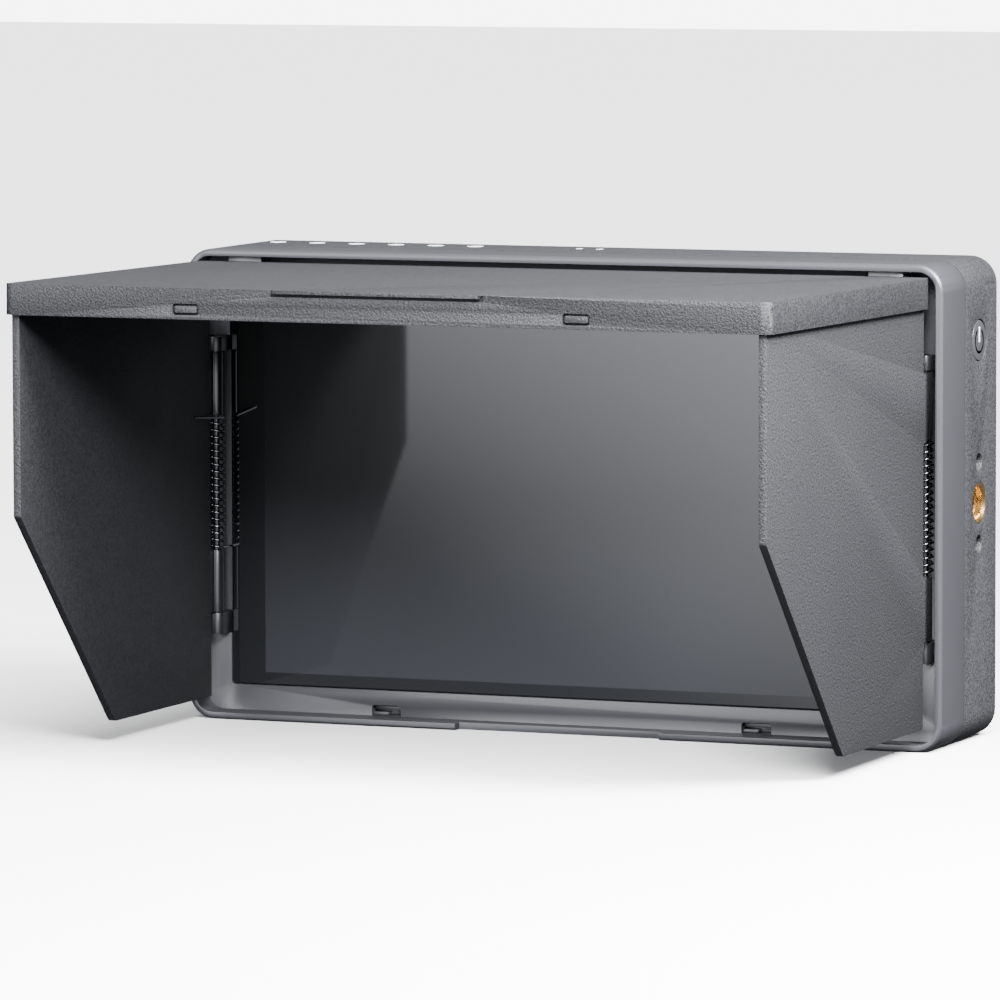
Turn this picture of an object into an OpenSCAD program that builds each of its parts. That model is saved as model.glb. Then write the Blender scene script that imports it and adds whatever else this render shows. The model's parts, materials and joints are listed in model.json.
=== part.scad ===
/* [Housing] */
// Width of the housing
body_w = 154; // [148:0.5:180]
// Height of the housing
body_h = 91; // [88:0.5:110]
// Depth of the housing, rim to back
body_d = 32; // [31:0.5:45]
// Depth of the front frame, rim to seam
front_d = 12.6; // [12.4:0.1:15]
// Radius of the housing's corners
corner_r = 5.2; // [4:0.1:7]
// Chamfer round the front rim
rim_chamfer = 0.4; // [0.2:0.1:0.6]
// Bevel round the back edge
back_bevel = 1; // [0.5:0.1:1.8]
// Thickness of the rim round the folded hood
rim_t = 1.35; // [1:0.05:1.6]
// Depth of the recess that takes the folded hood
recess_d = 6; // [6:0.1:6.5]
// Wall of the rear shell
shell_t = 2.2; // [1.6:0.1:2.6]

/* [Screen] */
// Width of the recess floor beside the cover glass
bezel_w = 5.15; // [5:0.05:6]
// Height of the recess floor above and below the cover glass
bezel_h = 5; // [4.5:0.05:6]
// Thickness of the cover glass
glass_t = 1.1; // [0.7:0.1:1.5]
// Width of the glass beyond the display panel at each side
ledge_w = 7; // [5:0.1:10]
// Height of the glass beyond the display panel above and below
ledge_h = 2.45; // [1.5:0.05:4]
// Thickness of the display panel
panel_t = 1.6; // [1:0.1:2]
// Thickness of the backlight
backlight_t = 2.6; // [2:0.1:3]
// Thickness of the metal chassis plate
chassis_t = 1; // [0.6:0.1:1.2]

/* [Hood lid] */
// Thickness of the lid's plate
lid_t = 1; // [0.8:0.05:1.1]
// Thickness of the lid's lip and side walls
lid_wall_t = 0.9; // [0.7:0.05:1]
// Height of the lid's lip and side walls
lid_h = 5.7; // [5:0.1:5.7]
// Gap between the closed lid and the rim at each side
lid_side_gap = 1.05; // [0.8:0.05:1.2]
// Angle of the open lid from closed
lid_angle = 90.5; // [85:0.1:95]
// Depth of the lid's hinge axis behind the rim
lid_axis_d = 1.4; // [1.4:0.05:1.6]
// Distance of the lid's hinge axis below the top
lid_axis_drop = 3.6; // [3.4:0.05:3.8]
// Radius of the lid's hinge barrels
lid_barrel_r = 1.2; // [1:0.05:1.2]
// Radius of the hinge pins
pin_r = 0.6; // [0.5:0.05:0.7]
// Distance of the lid's catches from the middle
catch_x = 38; // [30:0.5:50]
// Width of a catch window
catch_w = 5.2; // [4:0.1:6]
// Height of a catch window
catch_h = 2.1; // [1.6:0.1:2.4]
// Width of the finger ridge on the lid's lip
ridge_w = 40.5; // [30:0.5:50]

/* [Hood wings] */
// Reach of the wings in front of the rim
wing_reach = 83.1; // [75:0.1:83.2]
// Thickness of a wing
wing_t = 1.2; // [1:0.05:1.2]
// Distance of a wing's outer face from the housing's side
wing_inset = 3.8; // [3.7:0.05:3.9]
// Height of a wing's lower edge above the base
wing_z0 = 4.5; // [4:0.1:6]
// Distance of a wing's upper edge below the top
wing_drop = 5.1; // [5:0.1:8]
// Height where a wing's front edge starts to slant
slant_z = 46.5; // [30:0.5:60]
// Length of a wing's lower edge in front of the rim
slant_foot = 43.5; // [30:0.5:60]
// Depth of the left wing's hinge axis behind the rim
left_axis_d = 3; // [2.9:0.05:3]
// Depth of the right wing's hinge axis behind the rim
right_axis_d = 4.6; // [4.6:0.05:4.7]
// Radius of a wing's hinge barrels
wing_barrel_r = 1.3; // [1.1:0.05:1.3]
// Radial clearance of a pin in its barrel
pin_gap = 0.05; // [0.02:0.01:0.1]
// Lower end of the wing hinges
hinge_z0 = 16.2; // [14:0.1:18]
// Distance of the wing hinges' upper end below the top
hinge_drop = 17; // [14:0.1:19]
// Lower end of the wing springs above the wing hinges' lower end
spring_lift = 17.1; // [14:0.1:19]
// Length of the wing springs
spring_l = 24.1; // [22:0.1:27]

/* [Wing springs] */
// Turns of a wing spring
spring_turns = 18; // [14:1:20]
// Radius of a spring's middle line
spring_r = 1.4; // [1.3:0.02:1.42]
// Radius of a spring's wire
wire_r = 0.22; // [0.18:0.01:0.26]

/* [Threads and buttons] */
// Depth of the threaded mounts behind the rim
thread_d = 21; // [21:0.1:22]
// Bore radius of the threads
thread_r = 2.6; // [2.55:0.05:3.2]
// Depth of the threads
thread_l = 7.5; // [6:0.1:8.5]
// Outer radius of the brass inserts
insert_r = 3.9; // [3.8:0.05:4.2]
// Distance of the side thread below the housing's middle
side_thread_drop = 0.4; // [0:0.1:3]
// Distance of the locating holes from their thread
locator_x = 7.7; // [7:0.1:9]
// Radius of the locating holes
locator_r = 1.7; // [1.5:0.05:1.8]
// Depth of the locating holes
locator_l = 3; // [2.5:0.1:4]
// Distance of the power button below the top
button_drop = 15.3; // [13:0.1:18]
// Radius of the power button
button_r = 3.8; // [3:0.1:4]
// Travel of the power button
button_travel = 0.5; // [0.3:0.05:0.8]

/* [Back] */
// Width of the battery plate
plate_w = 44; // [42:0.5:50]
// Height of the battery plate
plate_h = 66; // [60:0.5:68]
// Thickness of the battery plate
plate_t = 2; // [1.6:0.1:3]
// Distance of the battery hooks from the middle
hook_x = 16.5; // [15:0.1:17.5]
// Height of the battery hooks above their plate
hook_h = 3.2; // [3:0.1:4]
// Travel of the battery release
release_travel = 2.2; // [1.5:0.1:2.4]
// Length of the vent slots
vent_l = 16; // [10:0.5:20]
// Width of the vent slots
vent_w = 1.6; // [1.2:0.1:2]
// Vent slots on each side
vent_count = 8; // [4:1:10]

/* [Hidden] */

// Curves
$fn = 48;
hull_fn = 32;
arc_steps = 6;

// Clearances
seat_gap = 0.1;
easy_gap = 0.3;
touch_gap = 0.03;
cut_past = 1;

// Finishes
frame_grey = [0.27, 0.27, 0.29];
shell_grey = [0.22, 0.22, 0.24];
hood_grey = [0.24, 0.24, 0.26];
black = [0.06, 0.06, 0.07];
steel = [0.75, 0.76, 0.78];
brass = [0.78, 0.6, 0.28];

// Frame, seen from the front: the rim's opening and the recess floor
rim_w = body_w - 2 * rim_t;
rim_h = body_h - 2 * rim_t;
recess_r = 3.5;
rim_r = min(corner_r - rim_t, recess_r);
glass_w = rim_w - 2 * bezel_w;
glass_h = rim_h - 2 * bezel_h;
panel_w = glass_w - 2 * ledge_w;
panel_h = glass_h - 2 * ledge_h;
screen_z = body_h / 2;
glass_r = 0.7;
glass_sink = 0.25;
glass_gap = 0.1;
panel_gap = 0.3;
glass_back = recess_d + glass_sink + glass_t;
panel_back = glass_back + panel_t;
floor_back = panel_back + backlight_t - seat_gap / 2;
chassis_back = floor_back + chassis_t;
inner_gap = 0.5;

// Finger notch in the rim, and the ridge on the lid that shows through it
notch_gap = 0.6;
notch_d = 2.2;
notch_x = 0.3;
ridge_h = 0.8;

// Hood lid, drawn closed and then swung open about its axis
lid_axis_z = body_h - lid_axis_drop;
lid_x = body_w / 2 - rim_t - lid_side_gap;
lid_face_d = 0.2;
lid_r = 1.8;
lid_taper = 0.6;
lid_back_r = 1.2;
lid_taper_drop = 3;
lid_taper_z = lid_axis_z - lid_taper_drop;
lid_wall_drop = 0.9;
lid_wall_z = lid_axis_z - lid_wall_drop;
lid_foot_gap = 0.25;
lid_top_gap = 1.15;
lid_foot_z = rim_t + lid_foot_gap;
lid_top_z = body_h - rim_t - lid_top_gap;
lid_back_d = lid_face_d + lid_h;
lid_inner_d = lid_face_d + lid_t;
lid_inner_x = lid_x - lid_wall_t;
lid_inner_z = lid_foot_z + lid_wall_t;
catch_edge = 0.75;
catch_d = lid_back_d - catch_edge - catch_h / 2;
catch_r = 0.55;
catch_gap = 0.25;
catch_pad = 0.9;
catch_pad_t = 0.6;
barrel_edge = 22.5;
barrel_x0 = body_w / 2 - barrel_edge;
bracket_edge = [15.1, 8.3];
bracket_x0 = body_w / 2 - bracket_edge[0];
bracket_x1 = body_w / 2 - bracket_edge[1];
barrel_side_gap = 0.4;

// Latch pockets in the recess floor under the lid's catches
pocket_w = 6;
pocket_z1 = 3.4;
pocket_depth = 3.6;
hook_bar = 0.7;
latch_plate_t = 1;
latch_bar_inset = 1.2;
latch_stub_inset = 0.6;

// Wing hinges: a pin between two ears, with barrels on the wing and a spring between them
wing_x = body_w / 2 - wing_inset;
wing_z1 = body_h - wing_drop;
hinge_z1 = body_h - hinge_drop;
spring_z0 = hinge_z0 + spring_lift;
spring_z1 = spring_z0 + spring_l;
hinge_inset = 1;
hinge_x = wing_x - hinge_inset;
ear_h0 = 4.2;
ear_h1 = 2.9;
ear_gap = 0.2;
side_pocket_d = 3.4;
pocket_x0 = glass_w / 2 + touch_gap;
wing_back_d = -0.3;
wing_r = 1.5;
wing_top_r = 0.4;
wing_slant_r = 1;
bracket_web_t = 0.8;
ear_w = 1.3;

// Board, sockets and switches behind the chassis
standoff_l = 4.4;
board_margin = 2.2;
board_top_margin = 4.5;
board_d = chassis_back + standoff_l;
board_t = 1.6;
board_back = board_d + board_t;
board_z0 = 12.5;
board_z1 = body_h - shell_t - board_top_margin;
board_x = body_w / 2 - shell_t - board_margin;
standoff_edge = 21;
standoff_low = 22;
standoff_drop = 19;
standoff_x = body_w / 2 - standoff_edge;
standoff_z = [standoff_low, body_h - standoff_drop];
standoff_r = 2.2;
screw_r = 0.95;
screw_gap = 0.1;
head_r = 1.9;
head_t = 0.8;
case_screw_inset = 8;
case_screw_x = body_w / 2 - case_screw_inset;
case_screw_z = [case_screw_inset, body_h - case_screw_inset];
boss_r = 3;
pilot_l = 3;
hdmi_w = 15.2;
hdmi_t = 5.8;
hdmi_l = 12;
hdmi_drop = 21;
hdmi_pitch = 20;
hdmi_z = [body_h - hdmi_drop, body_h - hdmi_drop - hdmi_pitch];
usb_w = 9;
usb_t = 3.3;
usb_l = 7.5;
usb_drop = 57;
usb_z = body_h - usb_drop;
jack_r = 1.78;
jack_size = 6;
jack_l = 12;
jack_drop = 70;
jack_z = body_h - jack_drop;
socket_wall = 0.4;
socket_gap = 0.2;
socket_inset = 0.3;
hdmi_r = 0.9;
hdmi_back_t = 1.5;
tongue_inset = 2;
usb_back_t = 1;
usb_tongue_inset = 1;
jack_seat = 1;
chip_t = 1.4;
main_chip = 18;
side_chip = 8;
side_chip_x = [-42, -30, 24, 38];
coil_size = 6;
coil_t = 3;
coil_x = [14:9:50];
coil_z = 27;
sink_w = 32;
sink_h = 26;
sink_lift = 4.5;
sink_z = body_h / 2 + sink_lift;
sink_gap = 1;
sink_base_t = 2;
fin_t = 1.2;
fin_count = 8;

// Blocks that carry the threads
thread_wall = 2;
insert_floor = 1;
side_thread_z = body_h / 2 - side_thread_drop;
thread_block_w = 2 * (locator_x + locator_r + thread_wall);
thread_block_t = thread_l + thread_wall;
thread_block_h = 2 * (insert_r + thread_wall);

// Button
button_z = body_h - button_drop;
button_gap = 0.25;
flange_w = 0.8;
flange_r = button_r + flange_w;
flange_t = 0.8;
switch_w = 6;
switch_t = 5;
plunger_l = 1.2;
plunger_r = 1.5;

// Vents and battery plate
vent_wall = 2.2;
vent_shift = 3;
plate_z = body_h / 2;
plate_r = 3;
hook_t = 1.4;
hook_lip = 1.3;
hook_lip_t = 1.2;
hook_l = 9;
hook_edge = [15, 13];
hook_z = [plate_z - plate_h / 2 + hook_edge[0], plate_z + plate_h / 2 - hook_edge[1] - hook_l];
contact_block_w = 22;
contact_block_h = 7;
contact_edge = 4;
contact_rise = 1.4;
blade_foot = 0.4;
blade_drop = 0.8;
blade_sink = 1;
blade_l = 4.5;
contact_z = plate_z - plate_h / 2 + contact_block_h / 2 + contact_edge;
lead_w = 18;
lead_h = 4;
blade_x = 7;
blade_t = 0.8;
release_w = 9;
release_h = 5;
release_out = 2.4;
release_edge = 8;
release_z = plate_z + plate_h / 2 - release_edge;
release_rim = 1.5;
release_rim_t = 1.2;
release_gap = 0.2;
release_root = 0.2;
release_slant = [1.6, 2];

// A depth behind the rim as a Y: the threads' middle plane is Y = 0
function y_at(d) = d - thread_d;

// Lower and upper end of a width about its middle
function about(middle, width) = [middle - width / 2, middle + width / 2];

// Two ends on one side of the middle, the lower first
function on_side(side, near, far) = side > 0 ? [near, far] : [-far, -near];

// Points of a polygon whose corners are rounded, each by its own radius
function unit(v) = v / norm(v);
function corner_points(a, b, c, r) =
    let (
        to_a = unit(a - b), to_c = unit(c - b),
        half = acos(to_a * to_c) / 2,
        middle = b + unit(to_a + to_c) * r / sin(half),
        from = b + to_a * r / tan(half) - middle,
        turn = (to_a[0] * to_c[1] - to_a[1] * to_c[0] > 0 ? -1 : 1) * (180 - 2 * half)
    )
    r == 0 ? [b] : [
        for (i = [0:arc_steps])
            let (t = turn * i / arc_steps)
            middle + [from[0] * cos(t) - from[1] * sin(t), from[0] * sin(t) + from[1] * cos(t)]
    ];
function rounded(points, radii) = [
    for (i = [0:len(points) - 1])
        each corner_points(
            points[(i + len(points) - 1) % len(points)], points[i],
            points[(i + 1) % len(points)], radii[i]
        )
];

// A drawing in X and Z, made solid between two depths
module between(d0, d1) {
    translate([0, y_at(d1), 0]) rotate([90, 0, 0]) linear_extrude(d1 - d0) children();
}

// A drawing in Y and Z, made solid between two X
module across(x0, x1) {
    translate([x0, 0, 0]) rotate([90, 0, 90]) linear_extrude(x1 - x0) children();
}

// Rounded rectangle about its middle
module plate(w, h, r) {
    square([w - 2 * r, h], center = true);
    square([w, h - 2 * r], center = true);
    for (x = [-1, 1], y = [-1, 1]) translate([x * (w / 2 - r), y * (h / 2 - r)]) circle(r);
}

// Housing outline between two depths, drawn in by an amount
module housing(d0, d1, inset = 0) {
    between(d0, d1) translate([0, body_h / 2])
        plate(body_w - 2 * inset, body_h - 2 * inset, corner_r - inset);
}

// Block given by its lower and upper corners, with depths for Y
module block(x, d, z) {
    translate([x[0], y_at(d[0]), z[0]]) cube([x[1] - x[0], d[1] - d[0], z[1] - z[0]]);
}

// Cylinder along X, Y or Z
module rod_x(x0, x1, d, z, r) {
    translate([x0, y_at(d), z]) rotate([0, 90, 0]) cylinder(h = x1 - x0, r = r);
}
module rod_y(d0, d1, x, z, r) {
    translate([x, y_at(d1), z]) rotate([90, 0, 0]) cylinder(h = d1 - d0, r = r);
}
module rod_z(z0, z1, x, d, r) {
    translate([x, y_at(d), z0]) cylinder(h = z1 - z0, r = r);
}

module at_case_screws() {
    for (x = [-1, 1] * case_screw_x, z = case_screw_z) translate([x, 0, z]) children();
}

// Front frame: rim, recess floor, ledge behind the glass, hinge and latch pockets
module front_frame() {
    color(frame_grey) difference() {
        union() {
            hull() {
                housing(0, rim_chamfer / 4, rim_chamfer, $fn = hull_fn);
                housing(rim_chamfer, 2 * rim_chamfer, $fn = hull_fn);
            }
            housing(2 * rim_chamfer, front_d);
        }
        between(-cut_past, recess_d) translate([0, body_h / 2]) plate(rim_w, rim_h, rim_r);
        between(recess_d - cut_past, glass_back)
            translate([0, screen_z]) plate(glass_w + 2 * glass_gap, glass_h + 2 * glass_gap, glass_r);
        between(recess_d, front_d + cut_past)
            translate([0, screen_z])
                square([panel_w + 2 * panel_gap, panel_h + 2 * panel_gap], center = true);
        housing(floor_back, front_d + cut_past, shell_t + inner_gap);
        for (side = [-1, 1]) {
            side_pocket(side);
            latch_pocket(side);
        }
        block(
            [-ridge_w / 2 - notch_gap - notch_x, ridge_w / 2 + notch_gap - notch_x],
            [-cut_past, notch_d], [-cut_past, rim_t + cut_past]
        );
        at_case_screws() rod_y(floor_back - pilot_l, front_d, 0, 0, screw_r + screw_gap);
    }
}

module side_pocket(side) {
    block(
        on_side(side, pocket_x0, rim_w / 2 - seat_gap),
        [recess_d - cut_past, recess_d + side_pocket_d], [hinge_z0, hinge_z1]
    );
}

module latch_pocket(side) {
    between(recess_d - cut_past, recess_d + pocket_depth) polygon(rounded([
        [side * catch_x - pocket_w / 2, rim_t], [side * catch_x + pocket_w / 2, rim_t],
        [side * catch_x + pocket_w / 2, pocket_z1], [side * catch_x - pocket_w / 2, pocket_z1]
    ], [0, 0, catch_r, catch_r]));
}

// Rear shell: walls, back, screw bosses, thread blocks, windows and vents
module rear_shell() {
    color(shell_grey) difference() {
        union() {
            difference() {
                union() {
                    housing(front_d, body_d - 2 * back_bevel);
                    hull() {
                        housing(body_d - 2 * back_bevel, body_d - back_bevel, $fn = hull_fn);
                        housing(body_d - back_bevel / 4, body_d, back_bevel, $fn = hull_fn);
                    }
                }
                housing(front_d - cut_past, body_d - shell_t, shell_t);
            }
            at_case_screws() rod_y(chassis_back, body_d - shell_t, 0, 0, boss_r);
            block(
                [body_w / 2 - thread_block_t, body_w / 2 - shell_t],
                [thread_d - thread_block_h / 2, thread_d + thread_block_h / 2],
                [side_thread_z - thread_block_w / 2, side_thread_z + thread_block_w / 2]
            );
            block(
                [-thread_block_w / 2, thread_block_w / 2],
                [thread_d - thread_block_h / 2, thread_d + thread_block_h / 2],
                [shell_t, thread_block_t]
            );
        }
        at_case_screws() {
            rod_y(chassis_back - cut_past, body_d, 0, 0, screw_r + screw_gap);
            rod_y(body_d - head_t - screw_gap, body_d + cut_past, 0, 0, head_r + 2 * screw_gap);
        }
        rod_x(body_w / 2 - thread_l - seat_gap, body_w / 2 + cut_past, thread_d, side_thread_z,
            insert_r + seat_gap / 2);
        rod_z(-cut_past, thread_l + seat_gap, 0, thread_d, insert_r + seat_gap / 2);
        for (i = [-1, 1]) {
            rod_x(body_w / 2 - locator_l, body_w / 2 + cut_past, thread_d,
                side_thread_z + i * locator_x, locator_r);
            rod_z(-cut_past, locator_l, i * locator_x, thread_d, locator_r);
        }
        rod_x(body_w / 2 - shell_t - cut_past, body_w / 2 + cut_past, thread_d, button_z,
            button_r + button_gap);
        port_windows();
        vents();
        block(
            about(0, release_w + 2 * release_gap), [body_d - shell_t - cut_past, body_d + cut_past],
            about(release_z, release_h + 2 * release_gap)
        );
        block(
            about(0, lead_w), [body_d - shell_t - cut_past, body_d + cut_past],
            about(contact_z, lead_h)
        );
    }
}

module port_windows() {
    wall = [-body_w / 2 - cut_past, -body_w / 2 + shell_t + cut_past];
    across(wall[0], wall[1]) {
        for (z = hdmi_z)
            translate([y_at(board_back + hdmi_t / 2 + seat_gap), z])
                plate(hdmi_t + 2 * socket_gap, hdmi_w + 2 * socket_gap, hdmi_r + socket_gap);
        translate([y_at(board_back + usb_t / 2 + seat_gap), usb_z])
            plate(usb_t + 2 * socket_gap, usb_w + 2 * socket_gap, usb_t / 2);
        translate([y_at(board_back + jack_size / 2 + seat_gap), jack_z])
            circle(jack_size / 2 - socket_wall);
    }
}

module vents() {
    pitch = vent_w + vent_wall;
    for (side = [-1, 1], i = [0:vent_count - 1])
        between(body_d - shell_t - cut_past, body_d + cut_past)
            translate([
                side * ((body_w + plate_w) / 4 - vent_shift),
                plate_z + (i - (vent_count - 1) / 2) * pitch
            ])
                plate(vent_l, vent_w, vent_w / 2 - touch_gap);
}

// Display stack
module cover_glass() {
    color([0.1, 0.11, 0.13]) between(recess_d + glass_sink, glass_back)
        translate([0, screen_z]) plate(glass_w, glass_h, glass_r);
}

module display_panel() {
    color([0.15, 0.15, 0.2]) between(glass_back, panel_back)
        translate([0, screen_z]) square([panel_w, panel_h], center = true);
}

module backlight() {
    frame_t = 1.6;
    sheet_t = 1.2;
    bars = 5;
    bar_pitch = panel_h / (bars + 1);
    color([0.85, 0.85, 0.85]) {
        difference() {
            between(panel_back, panel_back + backlight_t) translate([0, screen_z])
                square([panel_w, panel_h], center = true);
            between(panel_back + sheet_t, panel_back + backlight_t + cut_past)
                translate([0, screen_z])
                    square([panel_w - 2 * frame_t, panel_h - 2 * frame_t], center = true);
        }
        between(panel_back + sheet_t, panel_back + backlight_t) translate([0, screen_z])
            for (i = [0:bars - 1]) translate([0, (i - (bars - 1) / 2) * bar_pitch])
                square([panel_w - 4 * frame_t, frame_t], center = true);
    }
}

module chassis_plate() {
    margin = shell_t + 2 * inner_gap;
    color(steel) difference() {
        union() {
            housing(floor_back + seat_gap, chassis_back, margin);
            for (x = [-1, 1] * standoff_x, z = standoff_z)
                rod_y(chassis_back, board_d, x, z, standoff_r);
        }
        at_case_screws() rod_y(floor_back, chassis_back + cut_past, 0, 0, screw_r + 2 * screw_gap);
        for (x = [-1, 1] * standoff_x, z = standoff_z)
            rod_y(chassis_back + seat_gap, board_d + cut_past, x, z, screw_r + screw_gap);
    }
}

// Main board with its chips, coils and the notch round the side thread
module main_board() {
    clear_x = body_w / 2 - thread_block_t - easy_gap;
    clear_z = about(side_thread_z, thread_block_w + 2 * easy_gap);
    color([0.05, 0.25, 0.15]) difference() {
        union() {
            block([-board_x, board_x], [board_d, board_back], [board_z0, board_z1]);
            block(about(0, main_chip), [board_back, board_back + chip_t], about(sink_z, main_chip));
            for (x = side_chip_x)
                block(about(x, side_chip), [board_back, board_back + chip_t], about(sink_z, side_chip));
            for (x = coil_x)
                block(about(x, coil_size), [board_back, board_back + coil_t], about(coil_z, coil_size));
        }
        block([clear_x, board_x + cut_past], [board_d - cut_past, board_back + cut_past], clear_z);
        at_case_screws() rod_y(board_d - cut_past, board_back + cut_past, 0, 0, boss_r + easy_gap);
        for (x = [-1, 1] * standoff_x, z = standoff_z)
            rod_y(board_d - cut_past, board_back + cut_past, x, z, screw_r + screw_gap);
    }
}

module heat_sink() {
    base = board_back + chip_t + seat_gap / 2;
    z = about(sink_z, sink_h);
    color([0.3, 0.3, 0.32]) {
        block(about(0, sink_w), [base, base + sink_base_t], z);
        for (i = [0:fin_count - 1])
            block(
                about((i - (fin_count - 1) / 2) * (sink_w - fin_t) / (fin_count - 1), fin_t),
                [base + sink_base_t, body_d - shell_t - sink_gap], z
            );
    }
}

module board_screws() {
    color(steel) for (x = [-1, 1] * standoff_x, z = standoff_z) {
        rod_y(chassis_back + 2 * seat_gap, board_back + seat_gap / 2, x, z, screw_r);
        rod_y(board_back + seat_gap / 2, board_back + head_t, x, z, head_r);
    }
}

module case_screws() {
    socket_r = 0.9;
    color(steel) at_case_screws() difference() {
        union() {
            rod_y(floor_back - pilot_l + screw_gap, body_d - head_t, 0, 0, screw_r);
            rod_y(body_d - head_t - touch_gap, body_d - touch_gap, 0, 0, head_r);
        }
        rod_y(body_d - head_t / 2, body_d + cut_past, 0, 0, socket_r, $fn = 6);
    }
}

// Sockets on the left side, open towards it
module hdmi_socket(z) {
    x = -body_w / 2 + socket_inset;
    middle = [y_at(board_back + hdmi_t / 2 + seat_gap), z];
    tongue_t = 1.1;
    color(steel) {
        difference() {
            across(x, x + hdmi_l) translate(middle) plate(hdmi_t, hdmi_w, hdmi_r);
            across(x - cut_past, x + hdmi_l - hdmi_back_t) translate(middle)
                plate(hdmi_t - 2 * socket_wall, hdmi_w - 2 * socket_wall, hdmi_r - socket_wall);
        }
        across(x + tongue_inset, x + hdmi_l - hdmi_back_t / 2) translate(middle)
            square([tongue_t, hdmi_w - 4 * tongue_t], center = true);
    }
}
module hdmi_input() { hdmi_socket(hdmi_z[0]); }
module hdmi_output() { hdmi_socket(hdmi_z[1]); }

module usb_c_socket() {
    x = -body_w / 2 + socket_inset;
    middle = [y_at(board_back + usb_t / 2 + seat_gap), usb_z];
    tongue_t = 0.7;
    color(steel) {
        difference() {
            across(x, x + usb_l) translate(middle) plate(usb_t, usb_w, usb_t / 2 - touch_gap);
            across(x - cut_past, x + usb_l - usb_back_t) translate(middle)
                plate(usb_t - 2 * socket_wall, usb_w - 2 * socket_wall, usb_t / 2 - socket_wall - touch_gap);
        }
        across(x + usb_tongue_inset, x + usb_l - socket_wall) translate(middle)
            square([tongue_t, usb_w - 4 * tongue_t], center = true);
    }
}

module headphone_jack() {
    x = -body_w / 2;
    middle_d = board_back + jack_size / 2 + seat_gap;
    nose_r = jack_size / 2 - socket_wall - socket_gap;
    color(black) difference() {
        union() {
            rod_x(x + seat_gap, x + shell_t + jack_seat, middle_d, jack_z, nose_r);
            block(
                [x + shell_t + seat_gap, x + jack_l + shell_t],
                about(middle_d, jack_size), about(jack_z, jack_size)
            );
        }
        rod_x(x - cut_past, x + jack_l, middle_d, jack_z, jack_r);
    }
}

// Power button in the right side, and the switch behind it
button_back_x = body_w / 2 - shell_t - seat_gap - flange_t;

module power_button() {
    color(frame_grey) {
        rod_x(button_back_x + flange_t / 2, body_w / 2, thread_d, button_z, button_r);
        rod_x(button_back_x, button_back_x + flange_t, thread_d, button_z, flange_r);
    }
}

module power_switch() {
    tip_x = button_back_x - button_travel - seat_gap;
    back_d = board_back + seat_gap / 2;
    color(black) {
        block([tip_x - switch_t - plunger_l, tip_x - plunger_l], [back_d, back_d + switch_w],
            about(button_z, switch_w));
        rod_x(tip_x - 2 * plunger_l, tip_x, thread_d, button_z, plunger_r);
    }
}

// Brass thread inserts
module insert(bore_l) {
    difference() {
        cylinder(h = thread_l, r = insert_r);
        translate([0, 0, -cut_past]) cylinder(h = bore_l + cut_past, r = thread_r);
    }
}
module side_insert() {
    color(brass) translate([body_w / 2 - touch_gap, 0, side_thread_z]) rotate([0, -90, 0])
        insert(thread_l - insert_floor);
}
module bottom_insert() {
    color(brass) insert(thread_l - insert_floor);
}

// Battery plate with its four hooks, contacts and sprung release
module battery_plate() {
    color(shell_grey) difference() {
        union() {
            between(body_d, body_d + plate_t) translate([0, plate_z]) plate(plate_w, plate_h, plate_r);
            for (side = [-1, 1], z = hook_z) battery_hook(side, z);
        }
        block(
            about(0, release_w + 2 * release_gap), [body_d - cut_past, body_d + plate_t + cut_past],
            about(release_z, release_h + 2 * release_gap)
        );
        block(
            about(0, contact_block_w + 2 * seat_gap), [body_d - cut_past, body_d + plate_t + cut_past],
            about(contact_z, contact_block_h + 2 * seat_gap)
        );
    }
}

module battery_hook(side, z) {
    top = body_d + plate_t + hook_h;
    web = side > 0 ? [hook_x - hook_t, hook_x] : [-hook_x, -hook_x + hook_t];
    lip = side > 0 ? [hook_x - hook_t, hook_x + hook_lip] : [-hook_x - hook_lip, -hook_x + hook_t];
    block(web, [body_d + plate_t, top], [z, z + hook_l]);
    block(lip, [top - hook_lip_t, top], [z, z + hook_l]);
}

module battery_contacts() {
    top_z = contact_z + contact_block_h / 2;
    face_d = body_d + plate_t;
    color(black) {
        block(about(0, contact_block_w), [body_d + touch_gap, face_d + contact_rise],
            about(contact_z, contact_block_h));
        for (x = [-1, 0, 1] * blade_x)
            block(about(x, blade_t), [face_d + blade_foot, face_d + hook_h - blade_drop],
                [top_z - blade_sink, top_z + blade_l]);
    }
}

module battery_release() {
    back = body_d - shell_t - seat_gap;
    out = body_d + plate_t + release_out;
    color(black) {
        block(about(0, release_w + 2 * release_rim), [back - release_rim_t, back],
            about(release_z, release_h + 2 * release_rim));
        across(-release_w / 2, release_w / 2) polygon([
            [y_at(back - release_root), release_z - release_h / 2],
            [y_at(out), release_z - release_h / 2],
            [y_at(out), release_z + release_h / 2 - release_slant[1]],
            [y_at(out - release_slant[0]), release_z + release_h / 2],
            [y_at(back - release_root), release_z + release_h / 2]
        ]);
    }
}

// Whatever is drawn closed is swung open about the lid's hinge axis
module swung_open() {
    translate([0, y_at(lid_axis_d), lid_axis_z]) rotate([-lid_angle, 0, 0])
        translate([0, -y_at(lid_axis_d), -lid_axis_z]) children();
}

// Hood lid: one tray, given as its plate, its lip and two side walls that meet face to face
module lid_outline() {
    slant_end = lid_taper_z + 2 * lid_taper;
    polygon(rounded([
        [-lid_x, lid_foot_z], [lid_x, lid_foot_z],
        [lid_x, lid_taper_z], [lid_x - lid_taper, slant_end],
        [lid_x - lid_taper, lid_top_z], [-lid_x + lid_taper, lid_top_z],
        [-lid_x + lid_taper, slant_end], [-lid_x, lid_taper_z]
    ], [lid_r, lid_r, 0, 0, lid_back_r, lid_back_r, 0, 0]));
}

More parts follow.
